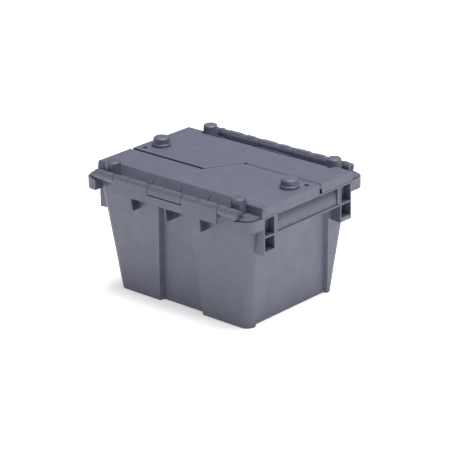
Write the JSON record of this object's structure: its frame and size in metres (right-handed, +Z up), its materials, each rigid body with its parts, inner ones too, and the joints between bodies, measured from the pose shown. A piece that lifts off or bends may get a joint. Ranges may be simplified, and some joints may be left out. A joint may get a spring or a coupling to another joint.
{
  "type": "attached lid tote",
  "caption": "Tapered plastic storage tote with attached interlocking lids on steel hinge rods, end handles and stacking knobs.",
  "frame": {"origin": "centre of the flat base, on the surface that the tote stands on", "axes": "+Z up, X along the hinges and the long sides, -Y towards the near hinge, +X towards one end handle"},
  "size_m": [0.3, 0.248, 0.195],
  "materials": {
    "tote_plastic": "fine moulded satin, blue grey polyethylene",
    "lid_plastic": "fine moulded satin, blue grey polyethylene",
    "rod_steel": "drawn wire, zinc plated"
  },
  "bodies": {
    "tote": {"tote": "tote_plastic", "near_hinge_rod": "rod_steel", "far_hinge_rod": "rod_steel"},
    "near_lid": {"near_lid": "lid_plastic"},
    "far_lid": {"far_lid": "lid_plastic"}
  },
  "joints": [
    {"name": "near_lid_hinge", "type": "hinge", "parent": "tote", "child": "near_lid", "pos_m": [0, -0.118, 0.1748], "axis": [1, 0, 0], "range_deg": [0, 235]},
    {"name": "far_lid_hinge", "type": "hinge", "parent": "tote", "child": "far_lid", "pos_m": [0, 0.118, 0.1748], "axis": [-1, 0, 0], "range_deg": [0, 235]}
  ],
  "couplings": [
    {"joint": "far_lid_hinge", "follows": "near_lid_hinge", "ratio": 1}
  ]
}
